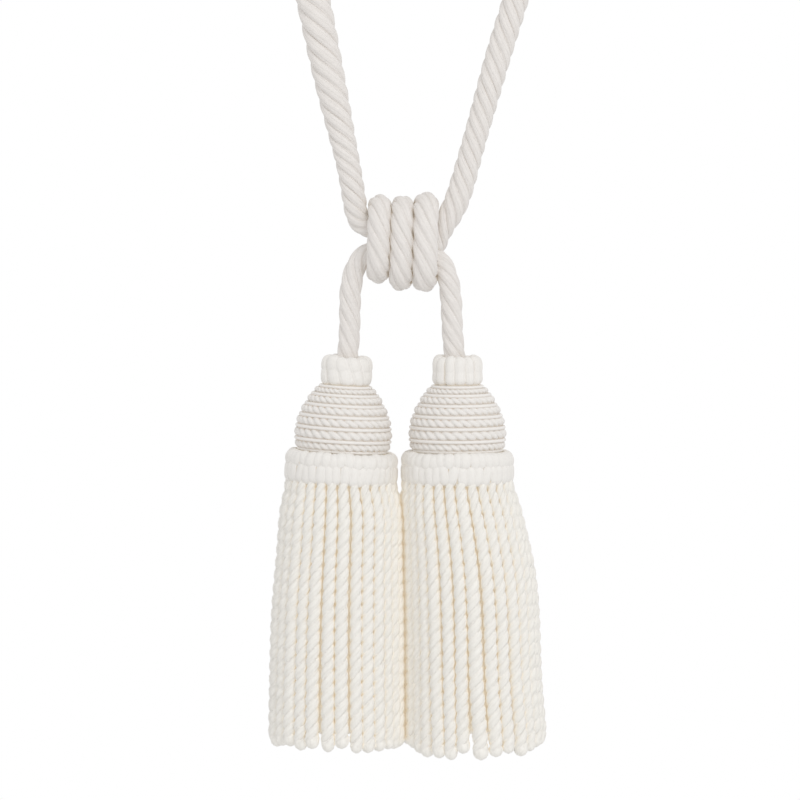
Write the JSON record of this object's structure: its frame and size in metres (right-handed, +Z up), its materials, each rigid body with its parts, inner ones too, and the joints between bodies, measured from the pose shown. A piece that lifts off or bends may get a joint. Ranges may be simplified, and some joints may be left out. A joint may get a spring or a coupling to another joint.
{
  "type": "curtain tieback with two tassels",
  "caption": "Loop of thick twisted cord with a wrapped barrel knot, from which two tassels with wound heads and bullion fringe hang side by side.",
  "frame": {"origin": "top edge of the cord loop, where it hangs", "axes": "+Z up along the hanging tieback, +X to the right across the two tassels, +Y to the back"},
  "size_m": [0.1396, 0.0702, 0.4644],
  "materials": {
    "cord": "soft spun yarn, five-ply twisted cord, matt with a faint sheen",
    "collar": "gathered soft yarn, matt",
    "head": "wound rows of smooth gimp and fine twisted cord, low sheen",
    "fringe": "soft cotton bullion strands under a ribbed heading, matt"
  },
  "bodies": {
    "root": {"hanging_loop": "cord", "knot_wraps": "cord", "tassel_cord": "cord", "left_collar": "collar", "right_collar": "collar", "left_head": "head", "right_head": "head", "left_fringe": "fringe", "right_fringe": "fringe"}
  },
  "joints": []
}
